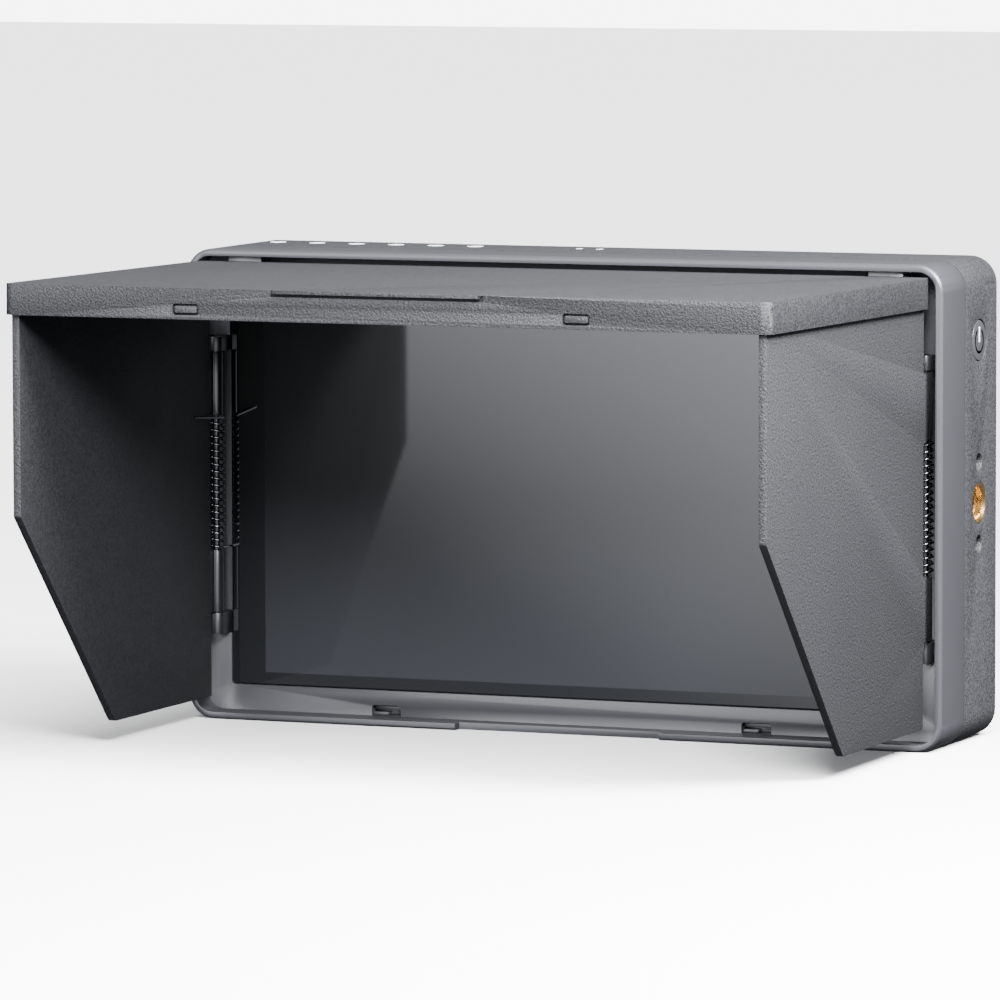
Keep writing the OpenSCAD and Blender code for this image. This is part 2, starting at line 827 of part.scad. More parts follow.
// Plate with the hinge barrels and the finger ridge
module hood_lid() {
    color(hood_grey) swung_open() difference() {
        union() {
            between(lid_face_d, lid_inner_d) lid_outline();
            block([-ridge_w / 2 - notch_x, ridge_w / 2 - notch_x], [lid_face_d, lid_inner_d],
                [lid_foot_z - ridge_h, lid_inner_z]);
            for (side = [-1, 1]) {
                x = on_side(side, barrel_x0, bracket_x0 - barrel_side_gap);
                rod_x(x[0], x[1], lid_axis_d, lid_axis_z, lid_barrel_r);
            }
        }
        for (side = [-1, 1]) {
            bore = on_side(side, barrel_x0 - cut_past, bracket_x0 + cut_past);
            rod_x(bore[0], bore[1], lid_axis_d, lid_axis_z, pin_r + pin_gap);
            block(
                on_side(side, bracket_x0 - barrel_side_gap, bracket_x1 + barrel_side_gap),
                [-cut_past, recess_d], [lid_axis_z - lid_barrel_r - barrel_side_gap, body_h]
            );
        }
    }
}

module lid_lip() {
    color(hood_grey) swung_open() difference() {
        between(lid_inner_d, lid_back_d) intersection() {
            lid_outline();
            translate([-body_w / 2, 0]) square([body_w, lid_inner_z]);
        }
        for (side = [-1, 1])
            translate([side * catch_x, y_at(catch_d), -cut_past])
                linear_extrude(lid_inner_z + 2 * cut_past) plate(catch_w, catch_h, catch_r);
    }
}

module lid_wall(side) {
    x = on_side(side, lid_inner_x, body_w / 2);
    color(hood_grey) swung_open() between(lid_inner_d, lid_back_d) intersection() {
        lid_outline();
        translate([x[0], lid_inner_z]) square([x[1] - x[0], lid_wall_z - lid_inner_z]);
    }
}
module lid_wall_left() { lid_wall(-1); }
module lid_wall_right() { lid_wall(1); }

module lid_catch(side) {
    color(hood_grey) swung_open() translate([side * catch_x, y_at(catch_d), lid_foot_z]) {
        linear_extrude(lid_wall_t + touch_gap)
            plate(catch_w - 2 * catch_gap, catch_h - 2 * catch_gap, catch_r - catch_gap);
        translate([0, 0, lid_wall_t + touch_gap]) linear_extrude(catch_pad_t)
            plate(catch_w + 2 * catch_pad, catch_h + catch_pad, catch_r);
    }
}
module lid_catch_left() { lid_catch(-1); }
module lid_catch_right() { lid_catch(1); }

// Hooks inside the latch pockets
module latch_hook(side) {
    x = about(side * catch_x, pocket_w - 4 * seat_gap);
    back = recess_d + pocket_depth - seat_gap / 2;
    top_z = pocket_z1 - 2 * seat_gap;
    color(frame_grey) {
        block(x, [back - latch_plate_t, back], [rim_t + seat_gap, top_z]);
        block(x, [recess_d + latch_bar_inset, back], [top_z - hook_bar, top_z]);
        block([x[0], x[0] + pocket_w / 2], [recess_d + latch_stub_inset, back],
            [rim_t + seat_gap, rim_t + hook_bar]);
    }
}
module latch_hook_left() { latch_hook(-1); }
module latch_hook_right() { latch_hook(1); }

// Lid brackets on the recess floor, with the pins they hold
module lid_bracket(side) {
    x = on_side(side, bracket_x0, bracket_x1);
    color(frame_grey) difference() {
        union() {
            rod_x(x[0], x[1], lid_axis_d, lid_axis_z, lid_barrel_r);
            block(x, [lid_axis_d, recess_d - seat_gap / 2],
                [lid_axis_z - lid_barrel_r, body_h - rim_t - seat_gap / 2]);
        }
        rod_x(x[0] - cut_past, x[1] + cut_past, lid_axis_d, lid_axis_z, pin_r + pin_gap / 2);
    }
}
module lid_bracket_left() { lid_bracket(-1); }
module lid_bracket_right() { lid_bracket(1); }

module lid_pin(side) {
    x = on_side(side, barrel_x0 + seat_gap, bracket_x1 - seat_gap);
    color(steel) rod_x(x[0], x[1], lid_axis_d, lid_axis_z, pin_r);
}
module lid_pin_left() { lid_pin(-1); }
module lid_pin_right() { lid_pin(1); }

// Wings, drawn as the left one about its hinge axis and mirrored for the right
module sided(side) {
    mirror([side > 0 ? 1 : 0, 0, 0]) children();
}
function axis_d(side) = side > 0 ? right_axis_d : left_axis_d;
barrels = [
    [hinge_z0 + ear_h0 + ear_gap, spring_z0 - ear_gap],
    [spring_z1 + ear_gap, hinge_z1 - ear_h1 - ear_gap]
];

module wing(side) {
    d = axis_d(side);
    front = y_at(-wing_reach);
    back = y_at(wing_back_d);
    color(hood_grey) sided(side) difference() {
        union() {
            across(-wing_x, -wing_x + wing_t) polygon(rounded([
                [back, wing_z0], [back, wing_z1], [front, wing_z1], [front, slant_z],
                [y_at(-slant_foot), wing_z0]
            ], [0, 0, wing_top_r, wing_slant_r, wing_r]));
            for (z = barrels) {
                block([-wing_x, -hinge_x], [wing_back_d - seat_gap, d], z);
                rod_z(z[0], z[1], -hinge_x, d, wing_barrel_r);
            }
        }
        for (z = barrels)
            rod_z(z[0] - ear_gap / 2, z[1] + ear_gap / 2, -hinge_x, d, pin_r + pin_gap);
    }
}
module wing_left() { wing(-1); }
module wing_right() { wing(1); }

// Brackets that fill the ends of the side pockets and hold the wing pins
module wing_bracket(side) {
    d = axis_d(side);
    back = recess_d + side_pocket_d - seat_gap / 2;
    ears = [[hinge_z0 + seat_gap, hinge_z0 + ear_h0], [hinge_z1 - ear_h1, hinge_z1 - seat_gap]];
    color(black) sided(side) difference() {
        union() {
            for (z = ears) {
                rod_z(z[0], z[1], -hinge_x, d, ear_w);
                block([-hinge_x - ear_w, -hinge_x + ear_w], [d, back], z);
            }
            block([-hinge_x - ear_w, -hinge_x + ear_w / 2], [back - bracket_web_t, back],
                [ears[0][0], ears[1][1]]);
        }
        rod_z(hinge_z0 - cut_past, hinge_z1 + cut_past, -hinge_x, d, pin_r + pin_gap / 2);
    }
}
module wing_bracket_left() { wing_bracket(-1); }
module wing_bracket_right() { wing_bracket(1); }

module wing_pin(side) {
    color(steel) sided(side)
        rod_z(hinge_z0 + 2 * seat_gap, hinge_z1 - 2 * seat_gap, -hinge_x, axis_d(side), pin_r);
}
module wing_pin_left() { wing_pin(-1); }
module wing_pin_right() { wing_pin(1); }

// Wing springs: one wire each, from a leg in the pocket up the coil to a leg on the wing
coil_rings = 8;
wire_sides = 6;
top_turn = -9;
leg_l = 6;
foot_l = 3.4;
coil_steps = spring_turns * coil_rings;
coil_turn = 360 * spring_turns - top_turn;
coil_z0 = spring_z0 + wire_r + touch_gap;
coil_z1 = spring_z1 - wire_r - touch_gap;

function coil_point(i) =
    let (turn = top_turn + coil_turn * (1 - i / coil_steps))
    [spring_r * cos(turn), spring_r * sin(turn), coil_z0 + (coil_z1 - coil_z0) * i / coil_steps];
function leg_way(turn) = [sin(turn), -cos(turn), 0];

foot_turn = top_turn + coil_turn;
wire_path = concat(
    [for (t = [foot_l, foot_l / 2]) coil_point(0) - t * leg_way(foot_turn)],
    [for (i = [0:coil_steps]) coil_point(i)],
    [for (t = [leg_l / 2, leg_l]) coil_point(coil_steps) + t * leg_way(top_turn)]
);

function ring_at(path, i) =
    let (
        last = len(path) - 1,
        way = unit(path[min(i + 1, last)] - path[max(i - 1, 0)]),
        side = unit(cross(way, [0, 0, 1])), up = cross(side, way)
    )
    [for (k = [0:wire_sides - 1])
        path[i] + wire_r * (cos(360 * k / wire_sides) * side + sin(360 * k / wire_sides) * up)];

module wire(path) {
    n = len(path);
    faces = concat(
        [[for (k = [0:wire_sides - 1]) k]],
        [for (i = [0:n - 2], k = [0:wire_sides - 1], half = [0, 1])
            let (a = i * wire_sides + k, b = i * wire_sides + (k + 1) % wire_sides)
            half == 0 ? [a, a + wire_sides, b + wire_sides] : [a, b + wire_sides, b]],
        [[for (k = [wire_sides - 1:-1:0]) (n - 1) * wire_sides + k]]
    );
    polyhedron([for (i = [0:n - 1]) each ring_at(path, i)], faces);
}

// Least gap of the wire to itself, measured on the points of its middle line
coil_gap = min([
    for (i = [0:len(wire_path) - 1], j = [i + coil_rings / 2:1:len(wire_path) - 1])
        norm(wire_path[i] - wire_path[j]) - 2 * wire_r
]);
echo(least_gap_of_the_spring_wire = coil_gap);

module wing_spring(side) {
    color(steel) sided(side) translate([-hinge_x, y_at(axis_d(side)), 0]) wire(wire_path);
}
module wing_spring_left() { wing_spring(-1); }
module wing_spring_right() { wing_spring(1); }

front_frame();
rear_shell();
cover_glass();
display_panel();
backlight();
chassis_plate();
main_board();
heat_sink();
board_screws();
case_screws();
hdmi_input();
hdmi_output();
usb_c_socket();
headphone_jack();
power_switch();
power_button();
side_insert();
bottom_insert();
battery_plate();
battery_contacts();
battery_release();
hood_lid();
lid_lip();
lid_wall_left();
lid_wall_right();
lid_catch_left();
lid_catch_right();
latch_hook_left();
latch_hook_right();
lid_bracket_left();
lid_bracket_right();
lid_pin_left();
lid_pin_right();
wing_left();
wing_right();
wing_bracket_left();
wing_bracket_right();
wing_pin_left();
wing_pin_right();
wing_spring_left();
wing_spring_right();
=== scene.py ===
"""Looks of a camera field monitor with a folding sun hood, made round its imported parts."""

import json
import math

import bpy
from mathutils import Matrix, Vector


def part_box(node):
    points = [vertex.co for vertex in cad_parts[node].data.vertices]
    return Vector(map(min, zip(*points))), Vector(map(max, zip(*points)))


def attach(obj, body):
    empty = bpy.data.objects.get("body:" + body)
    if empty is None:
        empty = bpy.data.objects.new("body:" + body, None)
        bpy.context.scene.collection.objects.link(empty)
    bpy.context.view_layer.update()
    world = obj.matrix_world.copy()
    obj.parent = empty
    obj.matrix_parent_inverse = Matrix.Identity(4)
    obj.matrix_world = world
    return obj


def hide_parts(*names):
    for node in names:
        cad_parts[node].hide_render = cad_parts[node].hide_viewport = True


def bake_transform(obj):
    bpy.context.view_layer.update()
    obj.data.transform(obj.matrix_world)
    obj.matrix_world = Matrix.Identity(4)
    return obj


bl_info = {
    "name": "Field monitor with sun hood",
    "version": (1, 0, 0),
    "blender": (4, 5, 0),
    "location": "View3D > Sidebar > Monitor",
    "description": "Gives the packed field monitor its finishes, springs, inserts and stage",
    "category": "Object",
}

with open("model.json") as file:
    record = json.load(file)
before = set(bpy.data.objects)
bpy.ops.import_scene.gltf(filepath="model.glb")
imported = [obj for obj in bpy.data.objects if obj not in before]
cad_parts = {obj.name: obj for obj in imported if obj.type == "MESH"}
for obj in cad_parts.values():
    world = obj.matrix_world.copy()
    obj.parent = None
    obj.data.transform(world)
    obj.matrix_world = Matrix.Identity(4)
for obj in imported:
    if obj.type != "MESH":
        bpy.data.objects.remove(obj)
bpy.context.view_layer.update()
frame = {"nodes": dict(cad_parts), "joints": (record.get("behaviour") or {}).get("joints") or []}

MM = 0.001
MERGE = 0.002 * MM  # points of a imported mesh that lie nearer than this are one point
SLACK = 0.02 * MM  # allowance when points are picked by their place
PRINT_HEIGHT = 0.02 * MM  # height of printed marks above their ground
WINGS = {"left": -1, "right": 1}
JOINTS = {joint["name"]: joint for joint in frame["joints"]}

CAMERA_PLACE = (0.54275, -1.35364, 0.17865)
CAMERA_TARGET = (-0.0117, -0.021, 0.0445)
CAMERA_ROLL = math.radians(-0.14)
CAMERA_LENS, CAMERA_SENSOR = 274.96, 36
FLOOR_WIDTH = 8
LIGHTS = (
    # name, place, target, width, watts
    ("side", (0.32, -0.14, 0.3), (0.07, -0.05, 0.07), 0.16, 13),
    ("front", (0.2, -0.45, 0.3), (0.05, -0.1, 0.08), 0.14, 10),
    ("left", (-0.7, -1.1, 0.4), (0, -0.05, 0.05), 0.4, 7),
)
SKY_PLACE, SKY_STRENGTH, SKY_ANGLE = (0.4, -0.45, 1.0), 13, math.radians(50)
SEEN_STRENGTH, DIM_STRENGTH = 7, 0.2
WALL_EDGE = (-0.6, -0.85)  # the wall starts and is full where a ray's Y has these values
WALL_SLOPE = (6.25, 0, 10.4)  # the wall brightens along this direction
WALL_FADE = (-3.5, -2.8)
WALL_STRENGTH = (0.1, 5.0)


def length(name, description, millimetres):
    return bpy.props.FloatProperty(
        name=name, description=description, default=millimetres * MM, unit="LENGTH", precision=5
    )


def colour(name, description, value):
    return bpy.props.FloatVectorProperty(
        name=name, description=description, default=value, subtype="COLOR", size=3, min=0, max=1
    )


def share(name, description, value):
    return bpy.props.FloatProperty(
        name=name, description=description, default=value, min=0, max=1, subtype="FACTOR"
    )


class MonitorSizes(bpy.types.PropertyGroup):
    """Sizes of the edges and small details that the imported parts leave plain"""

    edge: length("Edge", "Rounding of the moulded edges", 0.2)
    fine_edge: length("Fine edge", "Rounding of the edges of small pieces", 0.08)
    glass_corner: length("Glass corner", "Radius of the cover glass's corners", 0.7)
    glass_edge: length("Glass edge", "Chamfer round the front of the cover glass", 0.25)
    coil_radius: length("Coil radius", "Radius of a wing spring's middle line", 1.4)
    wire_radius: length("Wire radius", "Radius of a wing spring's wire", 0.22)
    top_leg: length("Top leg", "Length of the spring's leg on the wing", 11)
    foot: length("Foot", "Length of the spring's leg in its pocket", 3.4)
    insert_bore: length("Insert bore", "Bore radius at the root of the thread", 3.1)
    thread_crest: length("Thread crest", "Bore radius at the crest of the thread", 2.6)
    thread_pitch: length("Thread pitch", "Rise of the thread in one turn", 1.27)
    symbol_radius: length("Symbol radius", "Outer radius of the power symbol", 2.5)
    symbol_line: length("Symbol line", "Width of the power symbol's lines", 0.55)
    turns: bpy.props.IntProperty(name="Turns", description="Turns of a wing spring", default=19)
    coil_drop: length("Coil drop", "Reach of the coil below its plain solid", 0.5)
    coil_rise: length("Coil rise", "Reach of the coil above its plain solid", 1.1)
    wing_skin: length("Wing skin", "Thickness that the wings gain on their outer faces", 0.3)
    seam_width: length("Seam width", "Width of the seam round the housing", 0.6)
    seam_depth: length("Seam depth", "Depth of the seam round the housing", 0.5)
    groove_width: length("Groove width", "Width of the groove round the finger ridge", 0.6)
    groove_depth: length("Groove depth", "Depth of the groove round the finger ridge", 0.45)
    ridge_thickness: length("Ridge thickness", "Thickness of the finger ridge", 0.65)
    catch_gap: length("Catch gap", "Further gap round a catch in its window", 0.2)


class MonitorColours(bpy.types.PropertyGroup):
    """Colours and grain of the finishes"""

    frame: colour("Frame", "Satin paint of the front frame", (0.026, 0.027, 0.031))
    shell: colour("Shell", "Grained plastic of the rear shell", (0.018, 0.0185, 0.021))
    hood: colour("Hood", "Grained plastic of the hood's outside", (0.016, 0.0164, 0.0186))
    inside: colour("Inside", "Matte black of the hood's inside", (0.009, 0.0092, 0.011))
    screen: colour("Screen", "Display behind the cover glass", (0.024, 0.026, 0.031))
    mask: colour("Mask", "Black border round the display", (0.008, 0.009, 0.011))
    steel: colour("Steel", "Pins, sockets and screws", (0.5, 0.51, 0.53))
    wire: colour("Wire", "Dark spring wire", (0.16, 0.16, 0.17))
    brass: colour("Brass", "Thread inserts", (0.78, 0.52, 0.2))
    marks: colour("Marks", "Printed marks and the power symbol", (0.75, 0.76, 0.78))
    grain: length("Grain", "Size of the grain in the moulded plastic", 0.42)
    grain_height: length("Grain height", "Height of the grain", 0.06)
    frame_roughness: share("Frame roughness", "Roughness of the satin paint", 0.38)
    grain_roughness: share("Grain roughness", "Roughness of the grained plastic", 0.55)


class Wire:
    """An output of a node, with Python's own signs for the shader's maths"""

    def __init__(self, nodes, socket):
        self.nodes = nodes
        self.socket = socket

    def maths(self, operation, first, second=0.0):
        return self.nodes.node("Math", {0: first, 1: second}, {"operation": operation})

    def __add__(self, other):
        return self.maths("ADD", self, other)

    def __sub__(self, other):
        return self.maths("SUBTRACT", self, other)

    def __rsub__(self, other):
        return self.maths("SUBTRACT", other, self)

    def __mul__(self, other):
        return self.maths("MULTIPLY", self, other)

    def __lt__(self, other):
        return self.maths("LESS_THAN", self, other)

    def __abs__(self):
        return self.maths("ABSOLUTE", self)

    __radd__ = __add__
    __rmul__ = __mul__


class Nodes:
    """The nodes of a material or of the world"""

    def __init__(self, tree):
        self.tree = tree

    def first(self, kind):
        """The node of one kind that a new tree holds"""
        return next(node for node in self.tree.nodes if node.type == kind)

    def feed(self, socket, value):
        if isinstance(value, Wire):
            self.tree.links.new(value.socket, socket)
        else:
            socket.default_value = value

    def node(self, kind, inputs=None, settings=None, output=0):
        made = self.tree.nodes.new("ShaderNode" + kind)
        for name, value in (settings or {}).items():
            setattr(made, name, value)
        for name, value in (inputs or {}).items():
            self.feed(made.inputs[name], value)
        return Wire(self, made.outputs[output])

    def spread(self, value, low, high, low_result=0.0, high_result=1.0):
        return self.node("MapRange", {
            "Value": value, "From Min": low, "From Max": high,
            "To Min": low_result, "To Max": high_result,
        })


class Finish(Nodes):
    """One material"""

    def __init__(self, name):
        self.material = bpy.data.materials.new(name)
        self.material.use_nodes = True
        super().__init__(self.material.node_tree)
        self.shader = self.first("BSDF_PRINCIPLED")

    def place(self):
        return self.node("TexCoord", output="Object")

    def along(self, axis):
        return self.node("SeparateXYZ", {0: self.place()}, output=axis)

    def noise(self, size, detail=2.0, roughness=0.5):
        return self.node(
            "TexNoise",
            {"Vector": self.place(), "Scale": 1 / size, "Detail": detail, "Roughness": roughness},
        )

    def blend(self, amount, first, second):
        return self.node(
            "Mix", {0: amount, 6: (*first, 1), 7: (*second, 1)}, {"data_type": "RGBA"}, output=2
        )

    def bump(self, height, distance):
        return self.node("Bump", {"Height": height, "Distance": distance, "Strength": 1.0})

    def surface(self, values):
        for name, value in values.items():
            self.feed(self.shader.inputs[name], value)
        return self.material


def shade(base, factor):
    return tuple(channel * factor for channel in base)


def grained(name, base, roughness, grain, height, depth=0.55):
    """Spark-eroded plastic: a fine even grain, with painted shade that makes its hollows darker
    than its tops
    """
    finish = Finish(name)
    # pits_and_shade is the grain's height for the bump and also a painted shade mask: the colour
    # darkens in the hollows and lightens on the tops by the share depth
    pits_and_shade = finish.spread(finish.noise(grain, 2.0, 0.6), 0.34, 0.66)
    broad = finish.noise(grain * 60)
    return finish.surface({
        "Base Color": finish.blend(pits_and_shade, shade(base, 1 - depth), shade(base, 1 + depth)),
        "Roughness": roughness + 0.12 * (broad - 0.5),
        "Normal": finish.bump(pits_and_shade, height),
        "Specular IOR Level": 0.3,
    })


def satin(name, base, roughness, waviness=0.004):
    """Smooth paint or moulding: hardly any texture, with a faint unevenness"""
    finish = Finish(name)
    orange_peel = finish.noise(0.8 * MM, 2.0)
    broad = finish.noise(25 * MM)
    return finish.surface({
        "Base Color": finish.blend(broad, shade(base, 0.93), shade(base, 1.07)),
        "Roughness": roughness + 0.08 * (broad - 0.5),
        "Normal": finish.bump(orange_peel, waviness * MM),
    })


def bare_metal(name, base, roughness, streak, axis="Z"):
    """Turned or drawn metal, with fine marks that run round one axis"""
    finish = Finish(name)
    marks = finish.node("TexNoise", {
        "Vector": finish.node("CombineXYZ", {axis: finish.along(axis)}),
        "Scale": 1 / streak, "Detail": 2.0,
    })
    return finish.surface({
        "Base Color": finish.blend(marks, shade(base, 0.85), base),
        "Metallic": 1.0,
        "Roughness": roughness + 0.15 * (marks - 0.5),
        "Normal": finish.bump(marks, 0.01 * MM),
    })


def cover_glass_finish(colours, middle, half_width, half_height):
    """Glossy cover glass over the display, with the black border printed behind it"""
    finish = Finish("cover_glass")
    beside = abs(finish.along("X") - middle.x) < half_width
    above = abs(finish.along("Z") - middle.z) < half_height
    return finish.surface({
        "Base Color": finish.blend(beside * above, colours.mask, colours.screen),
        "Roughness": 0.05,
        "IOR": 1.75,
    })


def only(piece):
    bpy.ops.object.select_all(action="DESELECT")
    piece.select_set(True)
    bpy.context.view_layer.objects.active = piece


def everything(*_):
    return True


def select(piece, kind, test):
    """Selects the vertices, edges or faces of a piece that pass a test, and nothing else"""
    mesh = piece.data
    for parts in (mesh.vertices, mesh.edges, mesh.polygons):
        parts.foreach_set("select", [False] * len(parts))
    if kind == "VERT":
        chosen = [v for v in mesh.vertices if test(v.co)]
    elif kind == "EDGE":
        chosen = [e for e in mesh.edges if test(*(mesh.vertices[v].co for v in e.vertices))]
    else:
        chosen = [f for f in mesh.polygons if test(f.center, f.normal)]
    for part in chosen:
        part.select = True
        for vertex in [] if kind == "VERT" else part.vertices:
            mesh.vertices[vertex].select = True
    return len(chosen)


def work(piece, kind, test, *steps):
    """Runs edit-mode operators on the part of a piece that passes a test"""
    only(piece)
    if not select(piece, kind, test):
        raise RuntimeError(f"{piece.name}: nothing was selected")
    bpy.context.tool_settings.mesh_select_mode = [kind == k for k in ("VERT", "EDGE", "FACE")]
    bpy.ops.object.mode_set(mode="EDIT")
    for operator, settings in steps:
        operator(**settings)
    bpy.ops.object.mode_set(mode="OBJECT")


def apply_modifier(piece, kind, **settings):
    only(piece)
    made = piece.modifiers.new(kind.title(), kind)
    for name, value in settings.items():
        setattr(made, name, value)
    bpy.ops.object.modifier_apply(modifier=made.name)


def settle(piece, place=(0, 0, 0), turn=(0, 0, 0)):
    """Puts a new piece in its place, and its place in its mesh"""
    piece.location = place
    piece.rotation_euler = turn
    only(piece)
    bpy.ops.object.transform_apply(location=True, rotation=True, scale=True)


def started(name):
    piece = bpy.context.active_object
    piece.name = name
    piece.data.name = name
    return piece


def smooth(piece, degrees=32):
    only(piece)
    bpy.ops.object.shade_smooth_by_angle(angle=math.radians(degrees))


def merged_copy(name, *nodes):
    """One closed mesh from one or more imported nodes, with their flat faces whole again"""
    copies = []
    for node in nodes:
        piece = bpy.data.objects.new(name, frame["nodes"][node].data.copy())
        piece.data.materials.clear()
        bpy.context.scene.collection.objects.link(piece)
        only(piece)
        bpy.ops.mesh.customdata_custom_splitnormals_clear()
        work(piece, "FACE", everything, (bpy.ops.mesh.remove_doubles, {"threshold": MERGE}))
        copies.append(piece)
    whole = copies[0]
    for other in copies[1:]:
        apply_modifier(whole, "BOOLEAN", operation="UNION", solver="EXACT", object=other)
        bpy.data.objects.remove(other)
    work(
        whole, "FACE", everything,
        (bpy.ops.mesh.remove_doubles, {"threshold": MERGE}),
        (bpy.ops.mesh.dissolve_limited, {"angle_limit": math.radians(0.5)}),
    )
    return whole


def rounded(piece, width, degrees=38, segments=2):
    apply_modifier(
        piece, "BEVEL", width=width, segments=segments, limit_method="ANGLE",
        angle_limit=math.radians(degrees), miter_outer="MITER_ARC",
    )
    smooth(piece)


def block(name, low, high):
    """Block between two corners, for cutting with"""
    low, high = Vector(low), Vector(high)
    bpy.ops.object.select_all(action="DESELECT")
    bpy.ops.mesh.primitive_cube_add(size=1, location=(low + high) / 2, scale=high - low)
    made = started(name)
    settle(made, (low + high) / 2)
    return made


def cut(piece, cutter):
    apply_modifier(piece, "BOOLEAN", operation="DIFFERENCE", solver="EXACT", object=cutter)
    bpy.data.objects.remove(cutter)


def place_on(piece, body, finishes, nodes=()):
    """Gives a finished piece its finishes, its body and the nodes that it stands for"""
    for finish in finishes:
        piece.data.materials.append(finish)
    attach(piece, body)
    if nodes:
        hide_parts(*nodes)


def paint(piece, index, test):
    for face in piece.data.polygons:
        if test(face.center, face.normal):
            face.material_index = index


def hood_plastic(colours):
    return grained(
        "hood_outside", colours.hood, colours.grain_roughness, colours.grain, colours.grain_height
    )


def shell_plastic(name, colours):
    return grained(
        name, colours.shell, colours.grain_roughness, colours.grain, colours.grain_height
    )


def shadow(name, colours):
    """Painted shadow: near-black for the walls of narrow gaps and grooves, where shade falls"""
    return satin(name, shade(colours.inside, 0.2), 0.9)


def hood_black(colours):
    return grained("hood_inside", colours.inside, 0.6, colours.grain, colours.grain_height / 3)


class MONITOR_OT_housing(bpy.types.Operator):
    """Front frame and rear shell with rounded edges"""

    bl_idname = "monitor.housing"
    bl_label = "Housing"

    def execute(self, context):
        sizes, colours = context.scene.monitor_sizes, context.scene.monitor_colours
        front = merged_copy("frame_rounded", "front_frame")
        rounded(front, sizes.edge)
        place_on(front, "monitor",
                 [satin("frame_paint", colours.frame, colours.frame_roughness)], ["front_frame"])
        rear = merged_copy("shell_rounded", "rear_shell")
        self.seam(rear, sizes)
        rounded(rear, sizes.edge)
        place_on(rear, "monitor",
                 [shell_plastic("shell_plastic", colours), shadow("seam_shadow", colours)],
                 ["rear_shell"])
        # painted shadow on the walls of the seam round the housing
        paint(rear, 1, self.in_seam(sizes))
        return {"FINISHED"}

    @staticmethod
    def in_seam(sizes):
        """Faces of the shell's front that lie behind its outer edge"""
        low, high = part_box("rear_shell")
        edge = 0.3 * MM
        return lambda centre, normal: (
            centre.y < low.y + sizes.seam_width + SLACK
            and low.x + edge < centre.x < high.x - edge
            and low.z + edge < centre.z < high.z - edge
        )

    @staticmethod
    def seam(rear, sizes):
        """Cuts the narrow step that shows as a dark line round the housing"""
        low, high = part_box("rear_shell")
        corner, beyond, corner_segments = 4.7 * MM, 4 * MM, 12
        inner = Vector((sizes.seam_depth, 0, sizes.seam_depth))
        ring = block("seam_ring", (low.x - beyond, low.y - MM, low.z - beyond),
                     (high.x + beyond, low.y + sizes.seam_width, high.z + beyond))
        core = block("seam_core", low + inner - Vector((0, 2 * MM, 0)),
                     (high.x - inner.x, low.y + 2 * MM, high.z - inner.z))
        work(core, "EDGE", lambda a, b: abs(a.y - b.y) > MM,
             (bpy.ops.mesh.bevel, {"offset": corner, "segments": corner_segments}))
        cut(ring, core)
        cut(rear, ring)


